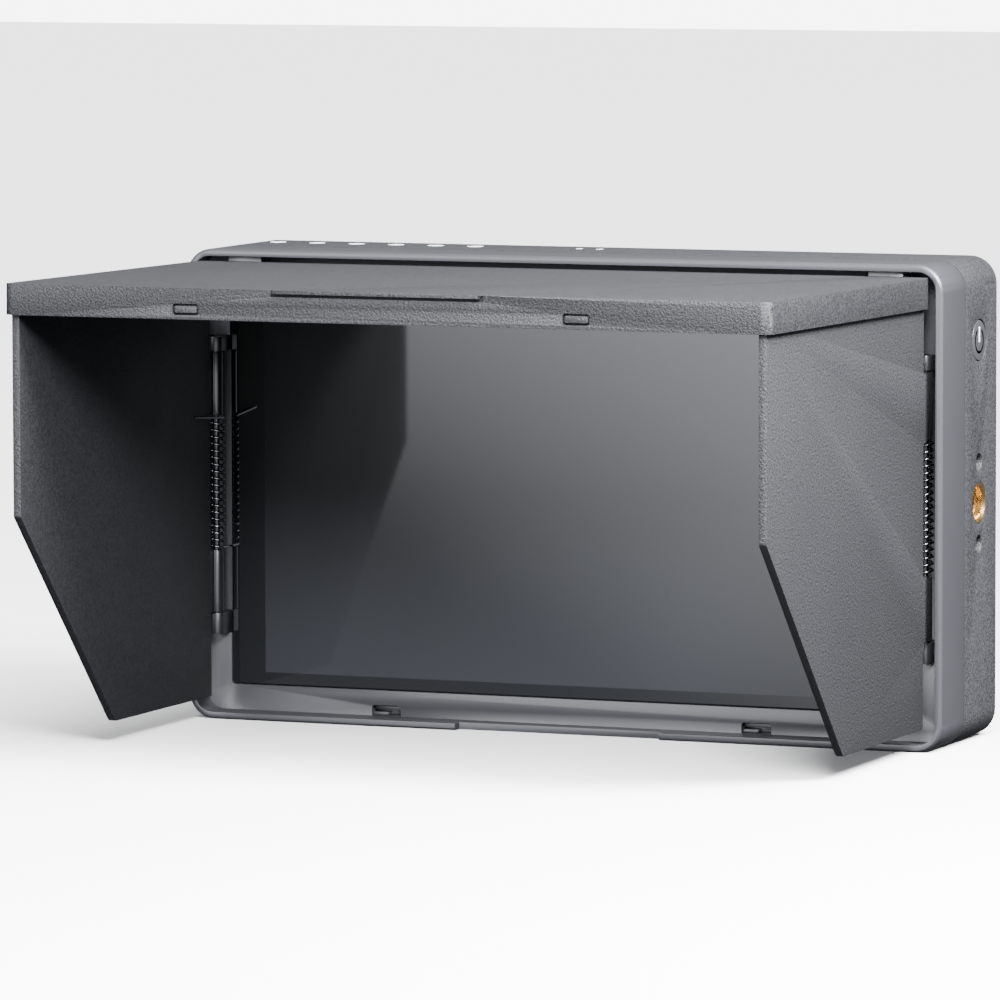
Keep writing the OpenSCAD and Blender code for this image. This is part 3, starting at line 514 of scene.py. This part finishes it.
class MONITOR_OT_hood_lid(bpy.types.Operator):
    """Hood lid as one moulding, with its two catches"""

    bl_idname = "monitor.hood_lid"
    bl_label = "Hood lid"

    def execute(self, context):
        sizes, colours = context.scene.monitor_sizes, context.scene.monitor_colours
        nodes = ["hood_lid", "lid_lip", "lid_wall_left", "lid_wall_right"]
        inner_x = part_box("lid_wall_right")[0].x
        under_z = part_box("lid_lip")[1].z
        lip_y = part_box("lid_lip")[1].y
        lid = merged_copy("lid_moulding", *nodes)
        self.groove(lid, sizes)
        rounded(lid, sizes.edge, 44)
        place_on(lid, "lid",
                 [hood_plastic(colours), hood_black(colours), shadow("gap_shadow", colours)], nodes)
        reach, square = 0.4 * MM, 0.7

        def faces_in(centre, normal):
            below = normal.z < -square and centre.z > under_z - reach
            lip = normal.y > square and abs(centre.y - lip_y) < reach
            facing_in = normal.x * centre.x < 0 and abs(normal.x) > square
            side = facing_in and abs(centre.x) > inner_x - reach
            return below or lip or side

        paint(lid, 1, faces_in)
        # painted shadow on the walls of the catch windows and of the groove round the ridge
        paint(lid, 2, self.in_gaps(sizes))
        for side in WINGS:
            catch = merged_copy(f"catch_{side}_rounded", f"lid_catch_{side}")
            low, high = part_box(f"lid_catch_{side}")
            middle = (low + high) / 2
            for axis, way in ((0, 1), (0, -1), (2, 1), (2, -1)):
                work(catch, "VERT", self.on_plate(catch, low.y, middle, axis, way),
                     (bpy.ops.transform.translate,
                      {"value": [-way * sizes.catch_gap if i == axis else 0 for i in range(3)]}))
            rounded(catch, sizes.fine_edge)
            place_on(catch, "lid", [hood_plastic(colours)], [f"lid_catch_{side}"])
        return {"FINISHED"}

    @staticmethod
    def in_gaps(sizes):
        """Walls of the catch windows and of the groove round the ridge"""
        face_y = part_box("lid_lip")[0].y + 0.1 * MM
        catches = [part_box(f"lid_catch_{side}") for side in WINGS]
        groove_z, groove_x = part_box("hood_lid")[1].z - 2.2 * MM, 22 * MM
        leaning = 0.5

        def test(centre, normal):
            if centre.y < face_y or centre.y > face_y + MM:
                return False
            window = any(
                low.x < centre.x < high.x and low.z < centre.z < high.z for low, high in catches
            ) and abs(normal.y) < leaning
            groove = centre.z > groove_z and abs(centre.x) < groove_x and normal.z < leaning
            return window or groove

        return test

    @staticmethod
    def on_plate(catch, face_y, middle, axis, way):
        """Corner points on one side of the small plate that shows in the window"""
        plate_back, band = face_y + 0.75 * MM, 0.4 * MM
        plate = [v.co for v in catch.data.vertices if v.co.y < plate_back]
        reach = max(way * (point[axis] - middle[axis]) for point in plate)
        return lambda v: v.y < plate_back and way * (v[axis] - middle[axis]) > reach - band

    @staticmethod
    def groove(lid, sizes):
        """Cuts the groove round the finger ridge, and thins the ridge from below"""
        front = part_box("hood_lid")[0].y - MM
        lip_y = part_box("lid_lip")[0].y
        proud = 0.3 * MM
        ridge = [v.co for v in frame["nodes"]["hood_lid"].data.vertices if v.co.y < lip_y - proud]
        left, right = min(v.x for v in ridge), max(v.x for v in ridge)
        top = max(v.z for v in ridge)
        skin = 0.12 * MM
        under = top - sizes.ridge_thickness
        back = lip_y + sizes.groove_depth
        width, half = sizes.groove_width, sizes.groove_width / 2
        cut(lid, block("under_ridge", (left - width, front, under - width),
                       (right + half, back, under)))
        for start, end in ((left - width, left), (right - half, right + half)):
            cut(lid, block("beside_ridge", (start, front, under - half), (end, back, top - skin)))


class MONITOR_OT_wings(bpy.types.Operator):
    """Two hood wings, grained outside and matte black inside"""

    bl_idname = "monitor.wings"
    bl_label = "Wings"

    def execute(self, context):
        sizes, colours = context.scene.monitor_sizes, context.scene.monitor_colours
        for side, sign in WINGS.items():
            wing = merged_copy(f"wing_{side}_moulding", f"wing_{side}")
            self.fit(wing, side, sign, sizes)
            rounded(wing, sizes.edge)
            barrel_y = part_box("front_frame")[0].y
            barrel = satin(f"barrel_{side}", colours.inside, 0.3)
            place_on(wing, f"{side}_wing",
                     [hood_plastic(colours), hood_black(colours), barrel], [f"wing_{side}"])
            paint(wing, 1, lambda centre, normal: normal.x * sign < -0.5 or normal.z < -0.3)
            paint(wing, 2, lambda centre, normal: centre.y > barrel_y)
        return {"FINISHED"}

    @staticmethod
    def fit(wing, side, sign, sizes):
        """Thickens a wing outward and makes room for the ends of its spring's coil"""
        frame_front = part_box("front_frame")[0].y
        outer = max(abs(v.co.x) for v in wing.data.vertices if v.co.y < frame_front - MM)
        work(wing, "VERT", lambda v: abs(abs(v.x) - outer) < SLACK,
             (bpy.ops.transform.translate, {"value": (sign * sizes.wing_skin, 0, 0)}))
        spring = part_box(f"wing_spring_{side}")
        axis_y = JOINTS[f"{side}_wing_fold"]["pos_m"][1]
        beside, level = 2 * sizes.coil_radius + MM, 0.5 * MM
        for z, shift in ((spring[0].z, -sizes.coil_drop), (spring[1].z, sizes.coil_rise)):
            work(wing, "VERT",
                 lambda v, z=z: abs(v.z - z) < level and abs(v.y - axis_y) < beside,
                 (bpy.ops.transform.translate, {"value": (0, 0, shift)}))


class MONITOR_OT_cover_glass(bpy.types.Operator):
    """Cover glass with chamfered front edges"""

    bl_idname = "monitor.cover_glass"
    bl_label = "Cover glass"

    def execute(self, context):
        sizes, colours = context.scene.monitor_sizes, context.scene.monitor_colours
        low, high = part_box("cover_glass")
        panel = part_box("display_panel")
        middle = (low + high) / 2
        bpy.ops.object.select_all(action="DESELECT")
        bpy.ops.mesh.primitive_cube_add(size=1, location=middle, scale=high - low)
        glass = started("screen_glass")
        settle(glass, middle)
        work(glass, "EDGE", lambda a, b: abs(a.y - b.y) > MM / 2,
             (bpy.ops.mesh.bevel, {"offset": sizes.glass_corner, "segments": 6}))
        work(glass, "FACE", lambda centre, normal: normal.y < -0.9,
             (bpy.ops.mesh.inset, {"thickness": sizes.glass_edge}))
        rim_y = low.y + sizes.glass_edge
        work(glass, "VERT",
             lambda v: v.y < low.y + SLACK / 2 and (
                 abs(v.x - middle.x) > (high.x - low.x) / 2 - sizes.glass_edge / 2
                 or abs(v.z - middle.z) > (high.z - low.z) / 2 - sizes.glass_edge / 2
                 or self.at_corner(v, low, high, sizes)),
             (bpy.ops.transform.translate, {"value": (0, rim_y - low.y, 0)}))
        smooth(glass, 20)
        half = (panel[1] - panel[0]) / 2
        place_on(glass, "monitor",
                 [cover_glass_finish(colours, middle, half.x, half.z)], ["cover_glass"])
        return {"FINISHED"}

    @staticmethod
    def at_corner(point, low, high, sizes):
        radius = sizes.glass_corner
        dx = max(low.x + radius - point.x, point.x - high.x + radius)
        dz = max(low.z + radius - point.z, point.z - high.z + radius)
        return dx > 0 and dz > 0 and math.hypot(dx, dz) > radius - sizes.glass_edge / 2


class MONITOR_OT_springs(bpy.types.Operator):
    """Torsion springs of the two wings, one wire each"""

    bl_idname = "monitor.springs"
    bl_label = "Wing springs"

    def execute(self, context):
        sizes, colours = context.scene.monitor_sizes, context.scene.monitor_colours
        for side, sign in WINGS.items():
            self.spring(side, sign, sizes, colours)
        return {"FINISHED"}

    def spring(self, side, sign, sizes, colours):
        axis = Vector(JOINTS[f"{side}_wing_fold"]["pos_m"])
        low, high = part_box(f"wing_spring_{side}")
        bottom = low.z + sizes.wire_radius - sizes.coil_drop
        top = high.z - sizes.wire_radius + sizes.coil_rise
        top_turn, leg_slope = math.radians(5), 0.07
        turn = 2 * math.pi * sizes.turns + top_turn
        steps = 24 * sizes.turns
        start = Vector((-sign * sizes.coil_radius, 0, 0))
        bpy.ops.object.select_all(action="DESELECT")
        bpy.ops.mesh.primitive_circle_add(
            vertices=12, radius=sizes.wire_radius, location=start, rotation=(math.pi / 2, 0, 0)
        )
        coil = started(f"spring_{side}")
        settle(coil, start, (math.pi / 2, 0, 0))
        apply_modifier(
            coil, "SCREW", axis="Z", angle=sign * turn, screw_offset=top - bottom,
            steps=steps, render_steps=steps, use_merge_vertices=False,
        )
        spun = Matrix.Rotation(sign * turn, 3, "Z")
        rise = Vector((0, 0, top - bottom))
        for centre, way, reach in (
            (start, Vector((0, 1, 0)), sizes.foot),
            (spun @ start + rise, spun @ Vector((0, -1, leg_slope)), sizes.top_leg),
        ):
            work(coil, "VERT", self.on_ring(centre, way, sizes.wire_radius),
                 (bpy.ops.mesh.extrude_region_move,
                  {"TRANSFORM_OT_translate": {"value": way * reach}}),
                 (bpy.ops.mesh.edge_face_add, {}))
        work(coil, "FACE", everything, (bpy.ops.mesh.normals_make_consistent, {"inside": False}))
        settle(coil, (axis.x, axis.y, bottom))
        smooth(coil, 50)
        coil.data.materials.append(bare_metal(f"spring_wire_{side}", colours.wire, 0.18, 0.3 * MM))
        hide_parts(f"wing_spring_{side}")
        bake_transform(coil)

    @staticmethod
    def on_ring(centre, way, radius):
        return lambda point: (
            (point - centre).length < radius + SLACK and abs((point - centre).dot(way)) < SLACK
        )


class MONITOR_OT_inserts(bpy.types.Operator):
    """Brass inserts with their threads"""

    bl_idname = "monitor.inserts"
    bl_label = "Thread inserts"

    def execute(self, context):
        sizes, colours = context.scene.monitor_sizes, context.scene.monitor_colours
        low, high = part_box("side_insert")
        middle = (low + high) / 2
        self.insert("side_insert", high.x - low.x, (high.z - low.z) / 2,
                    (high.x, middle.y, middle.z), (0, math.pi / 2, 0), sizes, colours)
        low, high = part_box("bottom_insert")
        middle = (low + high) / 2
        self.insert("bottom_insert", high.z - low.z, (high.x - low.x) / 2,
                    (middle.x, middle.y, low.z), (math.pi, 0, 0), sizes, colours)
        return {"FINISHED"}

    def insert(self, node, depth, radius, place, turn, sizes, colours):
        floor, mouth = MM, 0.45 * MM
        bore = depth - floor
        bpy.ops.object.select_all(action="DESELECT")
        bpy.ops.mesh.primitive_cylinder_add(
            vertices=64, radius=radius, depth=depth, location=(0, 0, -depth / 2)
        )
        brass = started(f"{node}_threaded")
        settle(brass, (0, 0, -depth / 2))
        work(brass, "FACE", lambda centre, normal: normal.z > 0.9,
             (bpy.ops.mesh.inset, {"thickness": radius - sizes.insert_bore - mouth}),
             (bpy.ops.mesh.inset, {"thickness": mouth, "depth": -mouth}),
             (bpy.ops.mesh.extrude_region_move,
              {"TRANSFORM_OT_translate": {"value": (0, 0, mouth - bore)}}))
        turns = math.floor((bore - 2 * mouth) / sizes.thread_pitch) - 0.5
        ridge = sizes.insert_bore - sizes.thread_crest
        steps = round(48 * turns)
        bpy.ops.object.select_all(action="DESELECT")
        bpy.ops.mesh.primitive_circle_add(vertices=3, radius=ridge)
        thread = started(f"{node}_thread")
        settle(thread, (sizes.thread_crest + ridge, 0, -bore + ridge),
               (math.pi / 2, -math.pi / 2, 0))
        apply_modifier(thread, "SCREW", axis="Z", angle=2 * math.pi * turns,
                       screw_offset=sizes.thread_pitch * turns, steps=steps, render_steps=steps)
        work(thread, "EDGE", everything,
             (bpy.ops.mesh.select_all, {"action": "DESELECT"}),
             (bpy.ops.mesh.select_non_manifold, {}),
             (bpy.ops.mesh.edge_face_add, {}))
        work(thread, "FACE", everything, (bpy.ops.mesh.normals_make_consistent, {"inside": False}))
        only(thread)
        brass.select_set(True)
        bpy.context.view_layer.objects.active = brass
        bpy.ops.object.join()
        settle(brass, place, turn)
        smooth(brass)
        axis = "X" if node == "side_insert" else "Z"
        place_on(brass, "monitor",
                 [bare_metal(f"{node}_brass", colours.brass, 0.25, 0.25 * MM, axis)], [node])


class MONITOR_OT_power_button(bpy.types.Operator):
    """Power button's cap with its symbol"""

    bl_idname = "monitor.power_button"
    bl_label = "Power button"

    def execute(self, context):
        sizes, colours = context.scene.monitor_sizes, context.scene.monitor_colours
        low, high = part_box("power_button")
        middle = (low + high) / 2
        flange_radius = (high.z - low.z) / 2
        flange, step = 0.8 * MM, 0.8 * MM
        depth = high.x - low.x
        bpy.ops.object.select_all(action="DESELECT")
        bpy.ops.mesh.primitive_cylinder_add(
            vertices=96, radius=flange_radius, depth=flange, location=(0, 0, flange / 2 - depth)
        )
        cap = started("power_cap")
        settle(cap, (0, 0, flange / 2 - depth))
        work(cap, "FACE", lambda centre, normal: normal.z > 0.9,
             (bpy.ops.mesh.inset, {"thickness": step}),
             (bpy.ops.mesh.extrude_region_move,
              {"TRANSFORM_OT_translate": {"value": (0, 0, depth - flange)}}))
        cap_edge = 0.22 * MM
        rounded(cap, cap_edge, segments=3)
        turn = (math.pi / 2, 0, math.pi / 2)
        settle(cap, (high.x, middle.y, middle.z), turn)
        place_on(cap, "power_key",
                 [satin("button_paint", colours.frame, 0.32)], ["power_button"])
        symbol = self.symbol(sizes)
        settle(symbol, (high.x, middle.y, middle.z), turn)
        place_on(symbol, "power_key", [satin("symbol_white", colours.marks, 0.45)])
        return {"FINISHED"}

    @staticmethod
    def symbol(sizes):
        """A ring that is open at the top, and a bar in its gap"""
        outer, line = sizes.symbol_radius, sizes.symbol_line
        gap = math.radians(32)
        bpy.ops.object.select_all(action="DESELECT")
        bpy.ops.mesh.primitive_circle_add(vertices=90, radius=outer)
        ring = started("power_symbol")
        work(ring, "VERT", lambda v: abs(math.atan2(v.x, v.y)) < gap,
             (bpy.ops.mesh.delete, {"type": "VERT"}))
        inner = (outer - line) / outer
        work(ring, "EDGE", everything,
             (bpy.ops.mesh.extrude_edges_move, {}),
             (bpy.ops.transform.resize, {"value": (inner, inner, 1)}))
        work(ring, "FACE", everything,
             (bpy.ops.mesh.normals_make_consistent, {"inside": False}),
             (bpy.ops.mesh.solidify, {"thickness": PRINT_HEIGHT}))
        bpy.ops.object.select_all(action="DESELECT")
        bpy.ops.mesh.primitive_cube_add(size=1)
        bar = started("power_bar")
        bar.scale = (line, outer * 1.15, PRINT_HEIGHT)
        settle(bar, (0, outer * 0.45, 0))
        rounded(bar, line / 2.2, 80, 4)
        only(bar)
        ring.select_set(True)
        bpy.context.view_layer.objects.active = ring
        bpy.ops.object.join()
        return ring


class MONITOR_OT_top_marks(bpy.types.Operator):
    """Row of plain printed dots along the top of the shell"""

    bl_idname = "monitor.top_marks"
    bl_label = "Top marks"

    def execute(self, context):
        colours = context.scene.monitor_colours
        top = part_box("rear_shell")[1].z
        row_y, first_x, pitch = 3.5 * MM, -68.6 * MM, 8.34 * MM
        finish = satin("mark_print", colours.marks, 0.5)
        large, small = 1.6 * MM, 0.7 * MM
        marks = [(first_x + i * pitch, large) for i in range(6)]
        marks += [(-5.3 * MM, small), (-1.1 * MM, small)]
        for number, (x, radius) in enumerate(marks, 1):
            bpy.ops.object.select_all(action="DESELECT")
            bpy.ops.mesh.primitive_circle_add(vertices=40, radius=radius, fill_type="NGON")
            dot = started(f"top_mark_{number}")
            work(dot, "FACE", everything, (bpy.ops.mesh.inset, {"thickness": radius * 0.3}))
            work(dot, "FACE", everything,
                 (bpy.ops.mesh.extrude_region_move,
                  {"TRANSFORM_OT_translate": {"value": (0, 0, PRINT_HEIGHT)}}))
            settle(dot, (x, row_y, top))
            place_on(dot, "monitor", [finish])
        return {"FINISHED"}


class MONITOR_OT_fittings(bpy.types.Operator):
    """Finishes of the hinges, sockets, back and inner parts"""

    bl_idname = "monitor.fittings"
    bl_label = "Fittings"

    def execute(self, context):
        sizes, colours = context.scene.monitor_sizes, context.scene.monitor_colours
        steel = bare_metal("plain_steel", colours.steel, 0.3, 0.4 * MM)
        dark_steel = bare_metal("dark_steel", shade(colours.wire, 0.25), 0.35, 0.4 * MM)
        black = satin("moulded_black", colours.inside, 0.4)
        frame_paint = satin("bracket_paint", colours.frame, colours.frame_roughness)
        shell = shell_plastic("plate_plastic", colours)
        board = satin("board_lacquer", (0.01, 0.06, 0.03), 0.3)
        sheet = bare_metal("chassis_sheet", (0.6, 0.61, 0.63), 0.35, 0.5 * MM, "X")
        sink = bare_metal("sink_anodised", (0.09, 0.09, 0.1), 0.4, 0.5 * MM, "Z")
        white = satin("reflector_white", (0.8, 0.8, 0.8), 0.6)
        panel = satin("panel_black", colours.screen, 0.2)
        for finish, nodes in (
            (steel, ["board_screws", "case_screws", "hdmi_input", "hdmi_output", "usb_c_socket",
                     "lid_pin_left", "lid_pin_right"]),
            (dark_steel, ["wing_pin_left", "wing_pin_right"]),
            (black, ["headphone_jack", "power_switch", "battery_contacts", "battery_release"]),
            (board, ["main_board"]), (sheet, ["chassis_plate"]), (sink, ["heat_sink"]),
            (white, ["backlight"]), (panel, ["display_panel"]),
        ):
            for node in nodes:
                materials = frame["nodes"][node].data.materials
                materials.clear()
                materials.append(finish)
        for node, body, slot, finish in (
            ("battery_plate", "monitor", "shell", shell),
            ("latch_hook_left", "monitor", "frame", frame_paint),
            ("latch_hook_right", "monitor", "frame", frame_paint),
            ("lid_bracket_left", "monitor", "frame", frame_paint),
            ("lid_bracket_right", "monitor", "frame", frame_paint),
            ("wing_bracket_left", "monitor", "black", black),
            ("wing_bracket_right", "monitor", "black", black),
        ):
            piece = merged_copy(f"{node}_rounded", node)
            rounded(piece, sizes.fine_edge)
            place_on(piece, body, [finish], [node])
        return {"FINISHED"}


class MONITOR_OT_stage(bpy.types.Operator):
    """Camera, floor and soft studio light"""

    bl_idname = "monitor.stage"
    bl_label = "Stage"

    def execute(self, context):
        floor_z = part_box("rear_shell")[0].z
        bpy.ops.object.select_all(action="DESELECT")
        bpy.ops.mesh.primitive_plane_add(size=FLOOR_WIDTH, location=(0, 0, floor_z))
        floor = started("floor")
        floor.data.materials.append(
            Finish("floor_pale").surface({"Base Color": (0.9, 0.9, 0.91, 1), "Roughness": 0.8})
        )
        floor.visible_diffuse = False
        floor.visible_glossy = False
        self.camera(context)
        for light in LIGHTS:
            self.light(*light)
        self.sun()
        self.world(context)
        return {"FINISHED"}

    @staticmethod
    def camera(context):
        bpy.ops.object.camera_add(location=CAMERA_PLACE)
        camera = started("camera")
        way = Vector(CAMERA_TARGET) - Vector(CAMERA_PLACE)
        aim = way.to_track_quat("-Z", "Y").to_matrix()
        camera.rotation_euler = (aim @ Matrix.Rotation(CAMERA_ROLL, 3, "Z")).to_euler()
        camera.data.lens = CAMERA_LENS
        camera.data.sensor_width = CAMERA_SENSOR
        context.scene.camera = camera

    @staticmethod
    def light(name, place, target, width, watts):
        bpy.ops.object.light_add(type="AREA", location=place)
        light = started(f"light_{name}")
        light.data.shape = "DISK"
        light.data.size = width
        light.data.energy = watts
        way = Vector(target) - Vector(place)
        light.rotation_euler = way.to_track_quat("-Z", "Y").to_euler()

    @staticmethod
    def sun():
        """Wide soft light from above, which keeps the floor pale all over"""
        bpy.ops.object.light_add(type="SUN", location=SKY_PLACE)
        sky = started("light_sky")
        sky.data.energy = SKY_STRENGTH
        sky.data.angle = SKY_ANGLE
        sky.rotation_euler = (-Vector(SKY_PLACE)).to_track_quat("-Z", "Y").to_euler()

    @staticmethod
    def world(context):
        """White to the camera, dim to the object, with a bright wall in its reflections

        The wall stands behind the camera and fades towards the lower left.
        """
        world = bpy.data.worlds.new("studio")
        context.scene.world = world
        world.use_nodes = True
        room = Nodes(world.node_tree)
        seen = room.first("BACKGROUND")
        seen.inputs["Color"].default_value = (1, 1, 1, 1)
        seen.inputs["Strength"].default_value = SEEN_STRENGTH
        way = room.node("TexCoord", output="Generated")
        behind = room.spread(room.node("SeparateXYZ", {0: way}, output="Y"), *WALL_EDGE)
        along = room.node(
            "VectorMath", {0: way, 1: WALL_SLOPE}, {"operation": "DOT_PRODUCT"}, "Value"
        )
        wall = behind * room.spread(along, *WALL_FADE, *WALL_STRENGTH)
        mirrored = room.node("LightPath", output="Is Glossy Ray")
        dim = room.node(
            "Background",
            {"Color": (0.92, 0.95, 1, 1), "Strength": mirrored * wall + DIM_STRENGTH},
        )
        chosen = room.node("MixShader", {
            0: room.node("LightPath", output="Is Camera Ray"),
            1: dim, 2: Wire(room, seen.outputs[0]),
        })
        room.feed(room.first("OUTPUT_WORLD").inputs["Surface"], chosen)


PIECES = (
    MONITOR_OT_housing, MONITOR_OT_hood_lid, MONITOR_OT_wings, MONITOR_OT_cover_glass,
    MONITOR_OT_springs, MONITOR_OT_inserts, MONITOR_OT_power_button, MONITOR_OT_top_marks,
    MONITOR_OT_fittings, MONITOR_OT_stage,
)


class MONITOR_PT_pieces(bpy.types.Panel):
    """Buttons for the monitor's pieces"""

    bl_idname = "MONITOR_PT_pieces"
    bl_label = "Field monitor"
    bl_space_type = "VIEW_3D"
    bl_region_type = "UI"
    bl_category = "Monitor"

    def draw(self, context):
        for piece in PIECES:
            self.layout.operator(piece.bl_idname)


CLASSES = (MonitorSizes, MonitorColours, *PIECES, MONITOR_PT_pieces)


def register():
    for item in CLASSES:
        bpy.utils.register_class(item)
    bpy.types.Scene.monitor_sizes = bpy.props.PointerProperty(type=MonitorSizes)
    bpy.types.Scene.monitor_colours = bpy.props.PointerProperty(type=MonitorColours)


def unregister():
    del bpy.types.Scene.monitor_colours
    del bpy.types.Scene.monitor_sizes
    for item in reversed(CLASSES):
        bpy.utils.unregister_class(item)


def main():
    register()
    for piece in PIECES:
        group, name = piece.bl_idname.split(".")
        getattr(getattr(bpy.ops, group), name)()


if __name__ == "__main__":
    main()
